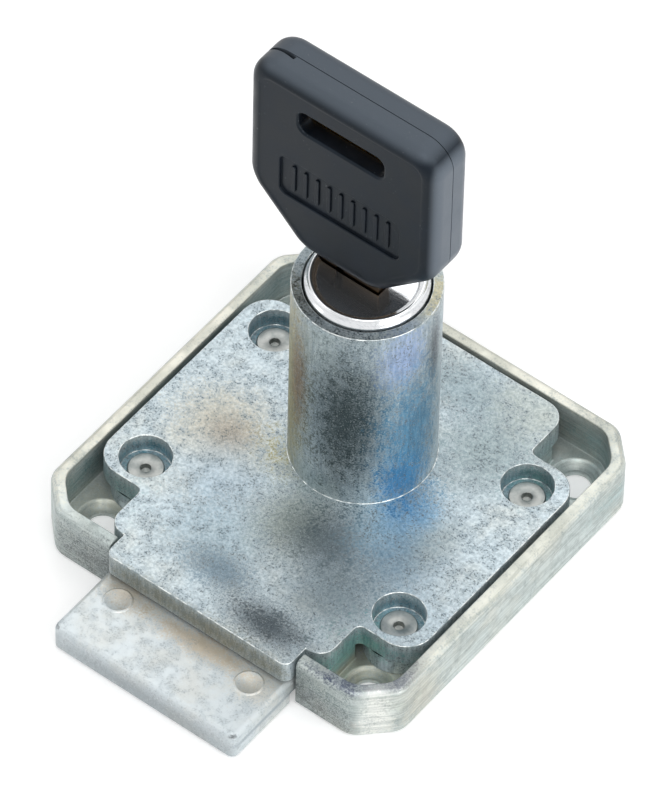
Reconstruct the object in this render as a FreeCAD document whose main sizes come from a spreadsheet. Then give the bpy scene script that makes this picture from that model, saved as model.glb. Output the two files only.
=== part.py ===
"""Furniture cylinder lock with a square casing, a round barrel, a sliding bolt and a key.

Millimetres. +Z runs up the barrel axis, z = 0 is the flat back of the casing, and the bolt
points to -Y. At rest the bolt is thrown and the key is fully in.
"""
import FreeCAD, Part
import math
import os
import re

import Sketcher

os.makedirs("parts", exist_ok=True)

SIZES = (
    # Casing: an open box, its middle in front of the barrel axis.
    ("casing_half", 28.0, "half the width of the casing"),
    ("casing_front", 32.5, "casing front before the barrel axis"),
    ("casing_depth", 55.3, "casing front to rear"),
    ("casing_height", 8.5, "back face to rim, also the level of the cover"),
    ("floor_thick", 2.0, "casing floor"),
    ("wall_thick", 1.8, "casing walls"),
    ("corner_leg", 4.6, "leg of the flat across each outer corner"),
    ("corner_round", 3.2, "rounding beside the corner flats"),
    ("inner_round", 3.4, "rounding inside the corners"),
    ("rim_bevel", 0.6, "bevel of the outer rim and the back edge"),
    ("screw_inset", 6.75, "screw holes from the casing's sides"),
    ("screw_radius", 2.1, "screw hole"),
    ("screw_sink", 1.2, "bevel of the screw holes on the floor"),
    ("rail_width", 2.35, "bolt guides where they are wide"),
    ("rail_lip", 0.1, "cover plate beyond the wide guides"),
    ("rail_gap", 0.1, "guides to the cover plate"),
    ("boss_gap", 0.2, "narrow guides to the bosses"),
    # Cover plate.
    ("cover_thick", 3.5, "cover plate"),
    ("cover_gap", 0.7, "cover plate to the side and front walls"),
    ("cover_rear_gap", 0.65, "cover plate to the rear wall"),
    ("body_front_round", 2.4, "front corners of the middle part"),
    ("body_rear_round", 3.0, "rear corners of the middle part"),
    ("notch_round", 0.9, "inside corners of the notches"),
    ("ear_margin", 4.43, "ears beyond the middle of the rivets"),
    ("ear_round", 4.0, "outer corners of the ears"),
    ("tongue_proud", 1.3, "tongue over the bolt stands out of the casing"),
    ("tongue_gap", 0.35, "tongue to the sides of the casing's front gap"),
    ("tongue_round", 1.2, "front corners of the tongue"),
    # Barrel.
    ("barrel_radius", 9.5, "outside of the barrel"),
    ("barrel_length", 32.0, "barrel above the cover"),
    ("barrel_wall", 2.9, "barrel round the bore"),
    ("head_room", 3.5, "depth of the counterbore for the head of the core"),
    ("web_rise", 1.0, "floor of the bore above the cover"),
    # Rivets.
    ("rivet_out", 2.95, "rivets beyond the middle part of the cover"),
    ("rivet_front_set", 14.03, "front rivets behind the casing's front"),
    ("rivet_rear_set", 14.96, "rear rivets before the casing's rear"),
    ("rivet_radius", 1.5, "rivet shank"),
    ("rivet_play", 0.05, "rivet shank in its hole"),
    ("rivet_head", 2.4, "rivet head radius"),
    ("rivet_head_thick", 0.7, "rivet head"),
    ("seat_thick", 0.6, "cover under the rivet heads"),
    ("sink_radius", 3.4, "counterbore over each rivet"),
    ("boss_radius", 4.4, "bosses under the ears"),
    # Bolt.
    ("bolt_margin", 13.6, "bolt from each side of the casing"),
    ("bolt_reach", 11.8, "thrown bolt beyond the casing"),
    ("tail_under", 0.5, "bolt below the cover plate"),
    ("head_under", 0.4, "underside of the bolt head"),
    ("tail_play", 0.1, "bolt tail above the floor"),
    ("side_play", 0.35, "bolt to each guide"),
    ("head_gap", 0.4, "rear of the thrown bolt head to the casing front"),
    ("bolt_throw", 10.5, "travel of the bolt"),
    ("tail_rear", 6.0, "rear end of the bolt, behind the axis"),
    ("bolt_bevel", 0.5, "bevel on the front edge of the bolt"),
    ("bolt_round", 1.0, "front corners of the bolt"),
    # Cam and its clip.
    ("cam_rim", 0.65, "cam disc beyond the crank pin"),
    ("cam_thick", 1.6, "cam disc"),
    ("cam_room", 2.4, "depth of the recess for the cam"),
    ("cam_gap", 0.2, "cam to its recess"),
    ("pin_radius", 1.9, "crank pin"),
    ("pin_gap", 0.3, "crank pin above the floor"),
    ("pin_room", 0.2, "crank pin to its slot at the widest swing"),
    ("tail_half", 2.2, "half the side of the square tail"),
    ("tail_gap", 0.3, "square tail above the bolt"),
    ("square_play", 0.05, "square tail in the cam"),
    ("clip_drop", 0.15, "clip groove below the cam"),
    ("clip_thick", 0.36, "clip"),
    ("clip_play", 0.04, "clip in its groove"),
    ("clip_inner", 1.95, "inside of the clip"),
    ("clip_gap", 0.25, "clip to the crank pin"),
    ("clip_mouth", 1.5, "half the opening of the clip"),
    # Core.
    ("plug_play", 0.1, "core in the barrel"),
    ("neck_step", 1.6, "neck inside the core's radius"),
    ("head_sunk", 0.7, "head of the core below the barrel's top"),
    ("cap_inset", 1.6, "cap inside the barrel's radius"),
    ("cap_gap", 0.25, "cap to the counterbore"),
    ("cap_wall", 0.55, "wall of the cap"),
    ("cap_play", 0.05, "cap over the head"),
    ("cap_clear", 0.5, "cap above the floor of the counterbore"),
    ("cap_proud", 0.1, "start of the cap's slope above the barrel"),
    ("cap_rise", 1.15, "rim of the cap above the barrel"),
    ("cap_slope", 0.7, "width of the cap's slope"),
    ("cap_rim", 0.3, "width of the cap's flat rim"),
    ("dish_depth", 1.2, "dish below the rim"),
    ("dish_slope", 4.0, "width of the sloping part of the dish"),
    # Key and keyway.
    ("key_shift", 2.0, "key stands this far left of the axis"),
    ("blade_margin", 1.3, "left edge of the blade inside the bore"),
    ("blade_thick", 2.2, "blade"),
    ("tip_rise", 5.9, "tip of the blade above the core's foot"),
    ("blade_bevel", 1.6, "bevel at the tip"),
    ("key_play", 0.15, "blade in the keyway"),
    ("tip_room", 0.9, "keyway beyond the tip"),
    ("shoulder_margin", 0.4, "shoulder inside the edge of the dish"),
    ("shoulder_clear", 0.4, "shoulder above the core's head"),
    ("shoulder_play", 0.2, "shoulder in the cap"),
    ("mill_half", 0.5, "half the width of a groove milled in the blade"),
    ("mill_depth", 0.45, "depth of the milled grooves"),
    ("mill_offset", 1.45, "milled grooves from the middle of the blade"),
    ("bow_half", 14.4, "half the width of the bow"),
    ("bow_clear", 4.0, "bow above the barrel"),
    ("bow_height", 29.7, "bow"),
    ("bow_taper", 8.3, "height of the slanted lower sides"),
    ("bow_slant", 8.5, "width of the slanted lower sides"),
    ("bow_thick", 3.7, "one half of the bow"),
    ("seam_gap", 0.05, "each half of the bow to the middle plane"),
    ("bow_corner", 3.6, "upper corners of the bow"),
    ("bow_bend", 2.2, "lower corners of the bow"),
    ("bow_edge", 1.2, "bevel round the faces of the bow"),
    ("slot_half", 6.5, "half the width of the key-ring slot"),
    ("slot_drop", 8.2, "lower edge of the key-ring slot below the bow's top"),
    ("slot_height", 3.5, "height of the key-ring slot"),
    ("slot_round", 1.2, "corners of the key-ring slot"),
    ("panel_half", 9.2, "half the width of the recessed panel"),
    ("panel_rise", 8.3, "lower edge of the panel above the bow's foot"),
    ("panel_height", 6.8, "height of the panel"),
    ("panel_depth", 0.4, "depth of the panel"),
    ("panel_round", 1.0, "corners of the panel"),
    ("insert_side", 4.2, "key's head inside the bow's sides"),
    ("insert_rise", 5.0, "key's head above the bow's foot"),
    ("insert_drop", 3.2, "key's head below the bow's top"),
    ("insert_play", 0.1, "key's head in the bow"),
    ("insert_cut", 4.0, "corners cut off the key's head"),
    ("ring_lip", 0.5, "brass seen inside the key-ring slot"),
    # Wafers and their springs.
    ("wafer_drop", 3.5, "uppermost wafer below the counterbore"),
    ("wafer_rise", 5.0, "lowest wafer above the blade's tip"),
    ("wafer_thick", 0.9, "wafer"),
    ("wafer_play", 0.1, "wafer in its slot, each side"),
    ("wafer_inset", 0.65, "wafer ends inside the bore"),
    ("wafer_side", 2.4, "half the width of a wafer"),
    ("wafer_lift", 1.12, "travel of a wafer"),
    ("groove_room", 0.5, "wafer tip to the end of the barrel groove"),
    ("cut_first", 0.2, "depth of the uppermost cut in the blade"),
    ("cut_step", 0.25, "each cut deeper than the one above"),
    ("cut_flat", 0.6, "half the flat of a cut"),
    ("cut_gap", 0.08, "wafer window to the blade"),
    ("lug_height", 1.6, "lug beyond the side of its wafer"),
    ("lug_left", 1.2, "outer side of the lug, left of the axis"),
    ("lug_right", 0.3, "inner side of the lug, left of the axis"),
    ("spring_room_right", 3.0, "right end of the spring pocket"),
    ("spring_room_half", 0.7, "half the height of the spring pocket"),
    ("spring_half", 0.5, "half the width of the spring strip"),
    ("spring_strip", 0.4, "spring strip, measured along its folds"),
    ("spring_low", 0.3, "near side of the spring's folds beyond the wafer's side"),
    ("spring_high", 1.1, "far side of the spring's folds beyond the wafer's side"),
)

WAFERS = 6
SPRING_FOLDS = 6
# Casing, cover and bolt, seen from above.
FRONT = "-casing_front"
REAR = "(casing_depth - casing_front)"
INNER_SIDE = "(casing_half - wall_thick)"
# Leg of the inner corner flats that keeps the wall's thickness.
INNER_LEG = f"(corner_leg - {2 - math.sqrt(2):.5f} * wall_thick)"
BOLT_HALF = "(casing_half - bolt_margin)"
BOLT_FRONT = f"({FRONT} - bolt_reach)"
GAP_HALF = f"({BOLT_HALF} + side_play)"
BODY_HALF = f"({GAP_HALF} + rail_width + rail_lip)"
BODY_FRONT = f"({FRONT} + wall_thick + cover_gap)"
BODY_REAR = f"({REAR} - wall_thick - cover_rear_gap)"
EAR_HALF = f"({INNER_SIDE} - cover_gap)"
RIVET_X = f"({BODY_HALF} + rivet_out)"
RIVET_FRONT = f"({FRONT} + rivet_front_set)"
RIVET_REAR = f"({REAR} - rivet_rear_set)"
EAR_FRONT = f"({RIVET_FRONT} - ear_margin)"
EAR_REAR = f"({RIVET_REAR} + ear_margin)"
TONGUE_FRONT = f"({FRONT} - tongue_proud)"
SCREW_X = "(casing_half - screw_inset)"
# Levels of the casing, bolt and cam.
UNDER_COVER = "(casing_height - cover_thick)"
TAIL_LEVEL = "(floor_thick + tail_play)"
BOLT_TOP = f"({UNDER_COVER} - tail_under)"
RIVET_SEAT = f"({UNDER_COVER} + seat_thick)"
CAM_TOP = f"({UNDER_COVER} + cam_room - cam_gap)"
CAM_FOOT = f"({CAM_TOP} - cam_thick)"
CLIP_TOP = f"({CAM_FOOT} - clip_drop)"
TAIL_END = f"({BOLT_TOP} + tail_gap)"
PIN_END = "(floor_thick + pin_gap)"
CRANK = "(bolt_throw / 2)"
CAM_RADIUS = f"({CRANK} + pin_radius + cam_rim)"
CLIP_OUTER = f"({CRANK} - pin_radius - clip_gap)"
# Greatest lead of the crank pin over the evenly moved bolt, as a share of the crank.
SWING = f"(0.2115 * {CRANK})"
# Levels and radii of the barrel, core, cap and key.
BARREL_TOP = "(casing_height + barrel_length)"
HEAD_FLOOR = f"({BARREL_TOP} - head_room)"
BORE_FLOOR = "(casing_height + web_rise)"
BORE = "(barrel_radius - barrel_wall)"
PLUG = f"({BORE} - plug_play)"
NECK = f"({PLUG} - neck_step)"
PLUG_FOOT = f"({BORE_FLOOR} + plug_play)"
HEAD_TOP = f"({BARREL_TOP} - head_sunk)"
CAP = "(barrel_radius - cap_inset)"
CAP_INNER = f"({CAP} - cap_wall)"
PLUG_HEAD = f"({CAP_INNER} - cap_play)"
CAP_TOP = f"({BARREL_TOP} + cap_rise)"
DISH = f"({CAP} - cap_slope - cap_rim)"
BLADE_LEFT = f"-({BORE} - blade_margin)"
BLADE_RIGHT = f"({BORE} - blade_margin - 2 * key_shift)"
BLADE_TIP = f"({PLUG_FOOT} + tip_rise)"
SHOULDER_HALF = f"({DISH} - shoulder_margin - key_shift)"
SHOULDER_FOOT = f"({HEAD_TOP} + shoulder_clear)"
BOW_FOOT = f"({BARREL_TOP} + bow_clear)"
BOW_TOP = f"({BOW_FOOT} + bow_height)"
SLOT_LOW = f"({BOW_TOP} - slot_drop)"
PANEL_LOW = f"({BOW_FOOT} + panel_rise)"
INSERT_HALF = "(bow_half - insert_side)"
INSERT_LOW = f"({BOW_FOOT} + insert_rise)"
INSERT_TOP = f"({BOW_TOP} - insert_drop)"
# Wafers.
WAFER_HALF = f"({BORE} - wafer_inset)"
WAFER_TOP = f"({HEAD_FLOOR} - wafer_drop)"
WAFER_LOW = f"({BLADE_TIP} + wafer_rise)"
WAFER_PITCH = f"(({WAFER_TOP} - {WAFER_LOW}) / {WAFERS - 1})"

NAME = re.compile(r"[a-z][a-z_]+")

doc = FreeCAD.newDocument("CylinderLock")
sheet = doc.addObject("Spreadsheet::Sheet", "Sizes")


def fill_sheet():
    """Write one driving size per row: name, value, meaning."""
    for row, (alias, size, meaning) in enumerate(SIZES, 1):
        sheet.set(f"A{row}", alias)
        sheet.set(f"B{row}", str(size))
        sheet.set(f"C{row}", meaning)
        sheet.setAlias(f"B{row}", alias)
    doc.recompute()


def bound(text):
    """Turn size names in a formula into references to the sheet."""
    return NAME.sub(r"Sizes.\g<0>", text)


def value(text):
    """Number that a formula of size names gives."""
    return float(sheet.evalExpression(bound(text)))


def minus(text):
    """Formula of the opposite sign."""
    return f"-({text})"


def new_body(label):
    """Empty body for one sub-part, its frame at the common origin."""
    body = doc.addObject("PartDesign::Body", label)
    body.Label = label
    body.Placement = FreeCAD.Placement()
    return body


def new_sketch(body, name, role, offset="0"):
    """Sketch on one of the body's own planes, moved along the plane's normal."""
    sketch = body.newObject("Sketcher::SketchObject", f"{body.Name}_{name}")
    plane = next(item for item in body.Origin.OriginFeatures if item.Role == role)
    sketch.AttachmentSupport = [(plane, "")]
    sketch.MapMode = "FlatFace"
    sketch.setExpression("AttachmentOffset.Base.z", bound(offset))
    return sketch


def level(body, name, height):
    """Sketch parallel to the back face at a height."""
    return new_sketch(body, name, "XY_Plane", height)


def upright(body, name, depth="0"):
    """Sketch in a plane along the barrel axis, at a depth before the axis."""
    return new_sketch(body, name, "XZ_Plane", depth)


def hold(sketch, kind, item, spot, text):
    """Bind one coordinate of a point to a formula."""
    size = value(text)
    if abs(size) < 1e-9:
        axis = -2 if kind == "DistanceX" else -1
        sketch.addConstraint(Sketcher.Constraint("PointOnObject", item, spot, axis))
        return
    ends = (-1, 1, item, spot) if size > 0 else (item, spot, -1, 1)
    index = sketch.addConstraint(Sketcher.Constraint(kind, *ends, abs(size)))
    sketch.setExpression(f"Constraints[{index}]", bound(text if size > 0 else minus(text)))


def hold_point(sketch, item, spot, x, y):
    """Bind a point to two formulas."""
    hold(sketch, "DistanceX", item, spot, x)
    hold(sketch, "DistanceY", item, spot, y)


def outline(sketch, corners):
    """Closed outline of straight sides through corners given as formulas."""
    spots = [FreeCAD.Vector(value(x), value(y), 0) for x, y in corners]
    first = sketch.GeometryCount
    count = len(spots)
    for number, start in enumerate(spots):
        sketch.addGeometry(Part.LineSegment(start, spots[(number + 1) % count]), False)
    for number, (x, y) in enumerate(corners):
        following = first + (number + 1) % count
        sketch.addConstraint(Sketcher.Constraint("Coincident", first + number, 2, following, 1))
        hold_point(sketch, first + number, 1, x, y)


def rectangle(sketch, left, right, low, high):
    """Rectangle between four formulas."""
    outline(sketch, [(left, low), (right, low), (right, high), (left, high)])


def circles(sketch, centres, radius):
    """Equal circles round centres given as formulas."""
    for x, y in centres:
        centre = FreeCAD.Vector(value(x), value(y), 0)
        circle = Part.Circle(centre, FreeCAD.Vector(0, 0, 1), value(radius))
        item = sketch.addGeometry(circle, False)
        hold_point(sketch, item, 3, x, y)
        index = sketch.addConstraint(Sketcher.Constraint("Radius", item, value(radius)))
        sketch.setExpression(f"Constraints[{index}]", bound(radius))


def mirrored(corners):
    """Corners of the right half followed by those of the left half."""
    return corners + [(minus(x), y) for x, y in reversed(corners)]


def pad(body, sketch, length, back=False):
    """Add material from a sketch, along its normal or against it."""
    feature = body.newObject("PartDesign::Pad", f"{sketch.Name}_pad")
    feature.Profile = sketch
    feature.Reversed = back
    feature.setExpression("Length", bound(length))
    doc.recompute()
    return feature


def pocket(body, sketch, depth):
    """Take material away from a sketch, against its normal."""
    before = body.Shape.Volume
    feature = body.newObject("PartDesign::Pocket", f"{sketch.Name}_cut")
    feature.Profile = sketch
    feature.setExpression("Length", bound(depth))
    doc.recompute()
    if body.Shape.Volume >= before:
        raise ValueError(f"{feature.Name} removes nothing")
    return feature


def revolve(body, sketch, kind="PartDesign::Revolution"):
    """Turn a section once round the barrel axis."""
    feature = body.newObject(kind, f"{sketch.Name}_turned")
    feature.Profile = sketch
    feature.ReferenceAxis = (sketch, ["V_Axis"])
    feature.Angle = 360.0
    doc.recompute()
    return feature


def dress(body, kind, size, wanted, name):
    """Round or bevel the edges that a test picks out."""
    base = body.Tip
    edges = [f"Edge{number}" for number, edge in enumerate(base.Shape.Edges, 1) if wanted(edge)]
    if not edges:
        raise ValueError(f"{body.Label} has no edge for {name}")
    feature = body.newObject(f"PartDesign::{kind}", f"{body.Name}_{name}")
    feature.Base = (base, edges)
    feature.setExpression("Radius" if kind == "Fillet" else "Size", bound(size))
    doc.recompute()
    if not feature.isValid():
        raise ValueError(f"{feature.Name} fails")


def middle(edge):
    """Point halfway along an edge."""
    return edge.valueAt((edge.FirstParameter + edge.LastParameter) / 2)


def edge_along(axis, corners):
    """Test for straight edges along an axis that pass through one of some corners."""
    across = [number for number in range(3) if number != axis]
    spots = [(value(x), value(y)) for x, y in corners]

    def test(edge):
        if len(edge.Vertexes) != 2 or not isinstance(edge.Curve, Part.Line):
            return False
        if abs(edge.Curve.Direction[axis]) < 0.999:
            return False
        spot = middle(edge)
        here = (spot[across[0]], spot[across[1]])
        return any(math.dist(here, corner) < 0.02 for corner in spots)

    return test


def round_uprights(body, size, corners, name):
    """Round upright edges at corners given as formulas."""
    dress(body, "Fillet", size, edge_along(2, corners), name)


def both_sides(x, y):
    """One place and its mirror image."""
    return [(x, y), (minus(x), y)]


def circle_edge(height, radius):
    """Test for whole circles of a radius at a height."""
    def test(edge):
        round_edge = isinstance(edge.Curve, Part.Circle) and len(edge.Vertexes) == 1
        if not round_edge or abs(edge.Curve.Radius - value(radius)) > 0.01:
            return False
        return abs(edge.Curve.Center.z - value(height)) < 0.01

    return test


RIVETS = both_sides(RIVET_X, RIVET_FRONT) + both_sides(RIVET_X, RIVET_REAR)
SCREWS = both_sides(SCREW_X, f"{FRONT} + screw_inset")
SCREWS += both_sides(SCREW_X, f"{FRONT} + screw_inset + 2 * {SCREW_X}")


def on_casing_outline(edge):
    """Whether an edge lies on the outer outline of the rim or of the back face."""
    spot = middle(edge)
    heights = (0.0, value("casing_height"))
    if all(abs(spot.z - height) > 0.01 for height in heights):
        return False
    if any(abs(vertex.Z - spot.z) > 0.01 for vertex in edge.Vertexes):
        return False
    side = abs(spot.x) - value("casing_half")
    end = max(value(FRONT) - spot.y, spot.y - value(REAR))
    return max(side, end, side + end + value("corner_leg")) > -0.2


def square_with_flats(half, front, rear, leg):
    """Corners of a square outline whose own corners are cut off."""
    return mirrored([
        (f"{half} - ({leg})", front),
        (half, f"{front} + {leg}"),
        (half, f"{rear} - ({leg})"),
        (f"{half} - ({leg})", rear),
    ])


def build_casing():
    body = new_body("casing")
    sketch = level(body, "outline", "0")
    corners = square_with_flats("casing_half", FRONT, REAR, "corner_leg")
    outline(sketch, corners)
    pad(body, sketch, "casing_height")
    round_uprights(body, "corner_round", corners, "corners")

    sketch = level(body, "room", "casing_height")
    inner_front = f"{FRONT} + wall_thick"
    inner_rear = f"{REAR} - wall_thick"
    corners = square_with_flats(INNER_SIDE, inner_front, inner_rear, INNER_LEG)
    outline(sketch, corners)
    pocket(body, sketch, "casing_height - floor_thick")
    round_uprights(body, "inner_round", corners, "inside")

    sketch = level(body, "front_gap", "casing_height")
    gap_rear = f"{FRONT} + bolt_throw + head_gap"
    rectangle(sketch, minus(GAP_HALF), GAP_HALF, f"{FRONT} - wall_thick", gap_rear)
    pocket(body, sketch, "casing_height + wall_thick")

    sketch = level(body, "rails", "floor_thick")
    wide = f"{BODY_HALF} - rail_lip"
    narrow = f"{RIVET_X} - boss_radius - boss_gap"
    front_step = f"{EAR_FRONT} - side_play"
    rear_step = f"{EAR_REAR} + side_play"
    rear_end = f"{BODY_REAR} - body_rear_round"
    rail = [
        (GAP_HALF, inner_front),
        (wide, inner_front),
        (wide, front_step),
        (narrow, front_step),
        (narrow, rear_step),
        (wide, rear_step),
        (wide, rear_end),
        (GAP_HALF, rear_end),
    ]
    outline(sketch, rail)
    outline(sketch, [(minus(x), y) for x, y in rail])
    pad(body, sketch, f"{UNDER_COVER} - floor_thick - rail_gap")

    sketch = level(body, "rivet_holes", "floor_thick")
    circles(sketch, RIVETS, "rivet_radius + rivet_play")
    pocket(body, sketch, "floor_thick")
    sketch = level(body, "screw_holes", "floor_thick")
    circles(sketch, SCREWS, "screw_radius")
    pocket(body, sketch, "floor_thick")
    dress(body, "Chamfer", "screw_sink", circle_edge("floor_thick", "screw_radius"), "sinks")
    dress(body, "Chamfer", "rim_bevel", on_casing_outline, "rim")
    return body


def build_cover_plate(body):
    sketch = level(body, "plate", UNDER_COVER)
    tongue = f"{GAP_HALF} - tongue_gap"
    outline(sketch, mirrored([
        (tongue, TONGUE_FRONT),
        (tongue, BODY_FRONT),
        (BODY_HALF, BODY_FRONT),
        (BODY_HALF, EAR_FRONT),
        (EAR_HALF, EAR_FRONT),
        (EAR_HALF, EAR_REAR),
        (BODY_HALF, EAR_REAR),
        (BODY_HALF, BODY_REAR),
    ]))
    pad(body, sketch, "cover_thick")
    round_uprights(body, "tongue_round", both_sides(tongue, TONGUE_FRONT), "tongue")
    round_uprights(body, "body_front_round", both_sides(BODY_HALF, BODY_FRONT), "front")
    round_uprights(body, "body_rear_round", both_sides(BODY_HALF, BODY_REAR), "rear")
    notches = both_sides(BODY_HALF, EAR_FRONT) + both_sides(BODY_HALF, EAR_REAR)
    round_uprights(body, "notch_round", notches, "notches")
    ears = both_sides(EAR_HALF, EAR_FRONT) + both_sides(EAR_HALF, EAR_REAR)
    round_uprights(body, "ear_round", ears, "ears")


def build_cover():
    """Cover plate with bosses below and the barrel above, one casting."""
    body = new_body("cover")
    axis = [("0", "0")]
    build_cover_plate(body)
    sketch = level(body, "bosses", "floor_thick")
    circles(sketch, RIVETS, "boss_radius")
    pad(body, sketch, f"{UNDER_COVER} - floor_thick")
    sketch = level(body, "barrel", "casing_height")
    circles(sketch, axis, "barrel_radius")
    pad(body, sketch, "barrel_length")

    sketch = level(body, "counterbore", BARREL_TOP)
    circles(sketch, axis, f"{CAP} + cap_gap")
    pocket(body, sketch, "head_room")
    sketch = level(body, "bore", HEAD_FLOOR)
    circles(sketch, axis, BORE)
    pocket(body, sketch, f"{HEAD_FLOOR} - {BORE_FLOOR}")
    sketch = level(body, "neck_hole", BORE_FLOOR)
    circles(sketch, axis, f"{NECK} + plug_play")
    pocket(body, sketch, f"{BORE_FLOOR} - {UNDER_COVER}")
    sketch = level(body, "cam_room", f"{UNDER_COVER} + cam_room")
    circles(sketch, axis, f"{CAM_RADIUS} + cam_gap")
    pocket(body, sketch, "cam_room")

    sketch = level(body, "grooves", HEAD_FLOOR)
    reach = f"{WAFER_HALF} + wafer_lift + groove_room"
    side = "wafer_side + wafer_play"
    rectangle(sketch, minus(reach), reach, minus(side), side)
    pocket(body, sketch, f"{HEAD_FLOOR} - ({WAFER_LOW} - wafer_thick)")

    sketch = level(body, "sinks", "casing_height")
    circles(sketch, RIVETS, "sink_radius")
    pocket(body, sketch, f"casing_height - {RIVET_SEAT}")
    sketch = level(body, "rivet_holes", RIVET_SEAT)
    circles(sketch, RIVETS, "rivet_radius + rivet_play")
    pocket(body, sketch, f"{RIVET_SEAT} - floor_thick")
    return body


def build_rivet(label, x, y):
    """Rivet with a flat head, its end level with the back."""
    body = new_body(label)
    sketch = upright(body, "section")
    top = f"{RIVET_SEAT} + rivet_head_thick"
    outline(sketch, [
        ("0", "rivet_play"),
        ("rivet_radius", "rivet_play"),
        ("rivet_radius", RIVET_SEAT),
        ("rivet_head", RIVET_SEAT),
        ("rivet_head", top),
        ("0", top),
    ])
    revolve(body, sketch)
    body.setExpression("Placement.Base.x", bound(x))
    body.setExpression("Placement.Base.y", bound(y))
    return body


def build_bolt():
    body = new_body("bolt")
    head_rear = f"{FRONT} - head_gap"
    sketch = level(body, "tail", TAIL_LEVEL)
    rectangle(sketch, minus(BOLT_HALF), BOLT_HALF, BOLT_FRONT, "tail_rear")
    thick = f"{BOLT_TOP} - {TAIL_LEVEL}"
    pad(body, sketch, thick)
    sketch = level(body, "head", "head_under")
    rectangle(sketch, minus(BOLT_HALF), BOLT_HALF, BOLT_FRONT, head_rear)
    pad(body, sketch, f"{TAIL_LEVEL} - head_under")
    sketch = level(body, "slot", BOLT_TOP)
    room = "(pin_radius + pin_room)"
    slot_front = f"-({CRANK} + {SWING} + {room})"
    slot_rear = f"-{CRANK} + {SWING} + {room}"
    rectangle(sketch, minus(room), f"{CRANK} + {room}", slot_front, slot_rear)
    pocket(body, sketch, thick)
    round_uprights(body, "bolt_round", both_sides(BOLT_HALF, BOLT_FRONT), "corners")
    front_top = edge_along(0, [(BOLT_FRONT, BOLT_TOP)])
    dress(body, "Chamfer", "bolt_bevel", front_top, "bevel")
    return body


def build_plug():
    """Core with keyway, wafer slots, spring pockets, neck and square tail."""
    body = new_body("plug")
    neck_end = f"{CAM_TOP} + cam_gap / 2"
    sketch = upright(body, "section")
    head_foot = f"{HEAD_FLOOR} + plug_play"
    outline(sketch, [
        ("0", neck_end),
        (NECK, neck_end),
        (NECK, PLUG_FOOT),
        (PLUG, PLUG_FOOT),
        (PLUG, head_foot),
        (PLUG_HEAD, head_foot),
        (PLUG_HEAD, HEAD_TOP),
        ("0", HEAD_TOP),
    ])
    revolve(body, sketch)
    sketch = level(body, "tail", neck_end)
    rectangle(sketch, "-tail_half", "tail_half", "-tail_half", "tail_half")
    pad(body, sketch, f"{neck_end} - {TAIL_END}", back=True)
    sketch = upright(body, "clip_groove")
    groove_foot = f"{CLIP_TOP} - clip_thick - 2 * clip_play"
    rectangle(sketch, "clip_inner - clip_play", "2 * tail_half", groove_foot, CLIP_TOP)
    revolve(body, sketch, "PartDesign::Groove")

    sketch = level(body, "keyway", HEAD_TOP)
    half = "blade_thick / 2 + key_play"
    rectangle(sketch, f"{BLADE_LEFT} - key_play", f"{BLADE_RIGHT} + key_play", minus(half), half)
    pocket(body, sketch, f"{HEAD_TOP} - {BLADE_TIP} + tip_room")

    half = "wafer_thick / 2 + wafer_play"
    sketch = level(body, "wafer_slot", f"{WAFER_TOP} + {half}")
    side = "wafer_side + wafer_play"
    rectangle(sketch, minus(PLUG_HEAD), PLUG_HEAD, minus(side), side)
    slot = pocket(body, sketch, f"2 * ({half})")
    sketch = level(body, "spring_room", f"{WAFER_TOP} + spring_room_half")
    left = "-(lug_left + wafer_lift + wafer_play)"
    rectangle(sketch, left, "spring_room_right", "wafer_side", PLUG_HEAD)
    room = pocket(body, sketch, "2 * spring_room_half")
    pattern = body.newObject("PartDesign::LinearPattern", "plug_slots")
    pattern.Originals = [slot, room]
    axis = next(item for item in body.Origin.OriginFeatures if item.Role == "Z_Axis")
    pattern.Direction = (axis, [""])
    pattern.Reversed = True
    pattern.setExpression("Length", bound(f"{WAFER_TOP} - {WAFER_LOW}"))
    pattern.Occurrences = WAFERS
    body.Tip = pattern
    doc.recompute()
    return body


def build_cap():
    """Dished cap over the core's head, with the mouth of the keyway."""
    body = new_body("plug_cap")
    sketch = upright(body, "section")
    roof = f"{HEAD_TOP} + cap_play"
    foot = f"{HEAD_FLOOR} + cap_clear"
    dish_floor = f"{CAP_TOP} - dish_depth"
    outline(sketch, [
        ("0", roof),
        (CAP_INNER, roof),
        (CAP_INNER, foot),
        (CAP, foot),
        (CAP, f"{BARREL_TOP} + cap_proud"),
        (f"{CAP} - cap_slope", CAP_TOP),
        (DISH, CAP_TOP),
        (f"{DISH} - dish_slope", dish_floor),
        ("0", dish_floor),
    ])
    revolve(body, sketch)
    sketch = level(body, "mouth", CAP_TOP)
    reach = f"{SHOULDER_HALF} + shoulder_play"
    half = "blade_thick / 2 + key_play"
    rectangle(sketch, f"-(key_shift + {reach})", f"{reach} - key_shift", minus(half), half)
    pocket(body, sketch, f"{CAP_TOP} - {HEAD_TOP}")
    return body


def build_cam():
    """Disc with a square hole and the crank pin below."""
    body = new_body("drive_cam")
    sketch = level(body, "disc", CAM_FOOT)
    circles(sketch, [("0", "0")], CAM_RADIUS)
    half = "tail_half + square_play"
    rectangle(sketch, minus(half), half, minus(half), half)
    pad(body, sketch, "cam_thick")
    sketch = level(body, "crank", PIN_END)
    circles(sketch, [("0", minus(CRANK))], "pin_radius")
    pad(body, sketch, f"{CAM_FOOT} - {PIN_END}")
    return body


def build_clip():
    """Open ring in the groove of the square tail."""
    body = new_body("cam_clip")
    sketch = level(body, "ring", f"{CLIP_TOP} - clip_play - clip_thick")
    circles(sketch, [("0", "0")], CLIP_OUTER)
    circles(sketch, [("0", "0")], "clip_inner")
    pad(body, sketch, "clip_thick")
    sketch = level(body, "mouth", f"{CLIP_TOP} - clip_play")
    rectangle(sketch, "-clip_mouth", "clip_mouth", "0", f"2 * {CLIP_OUTER}")
    pocket(body, sketch, "clip_thick")
    return body


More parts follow.
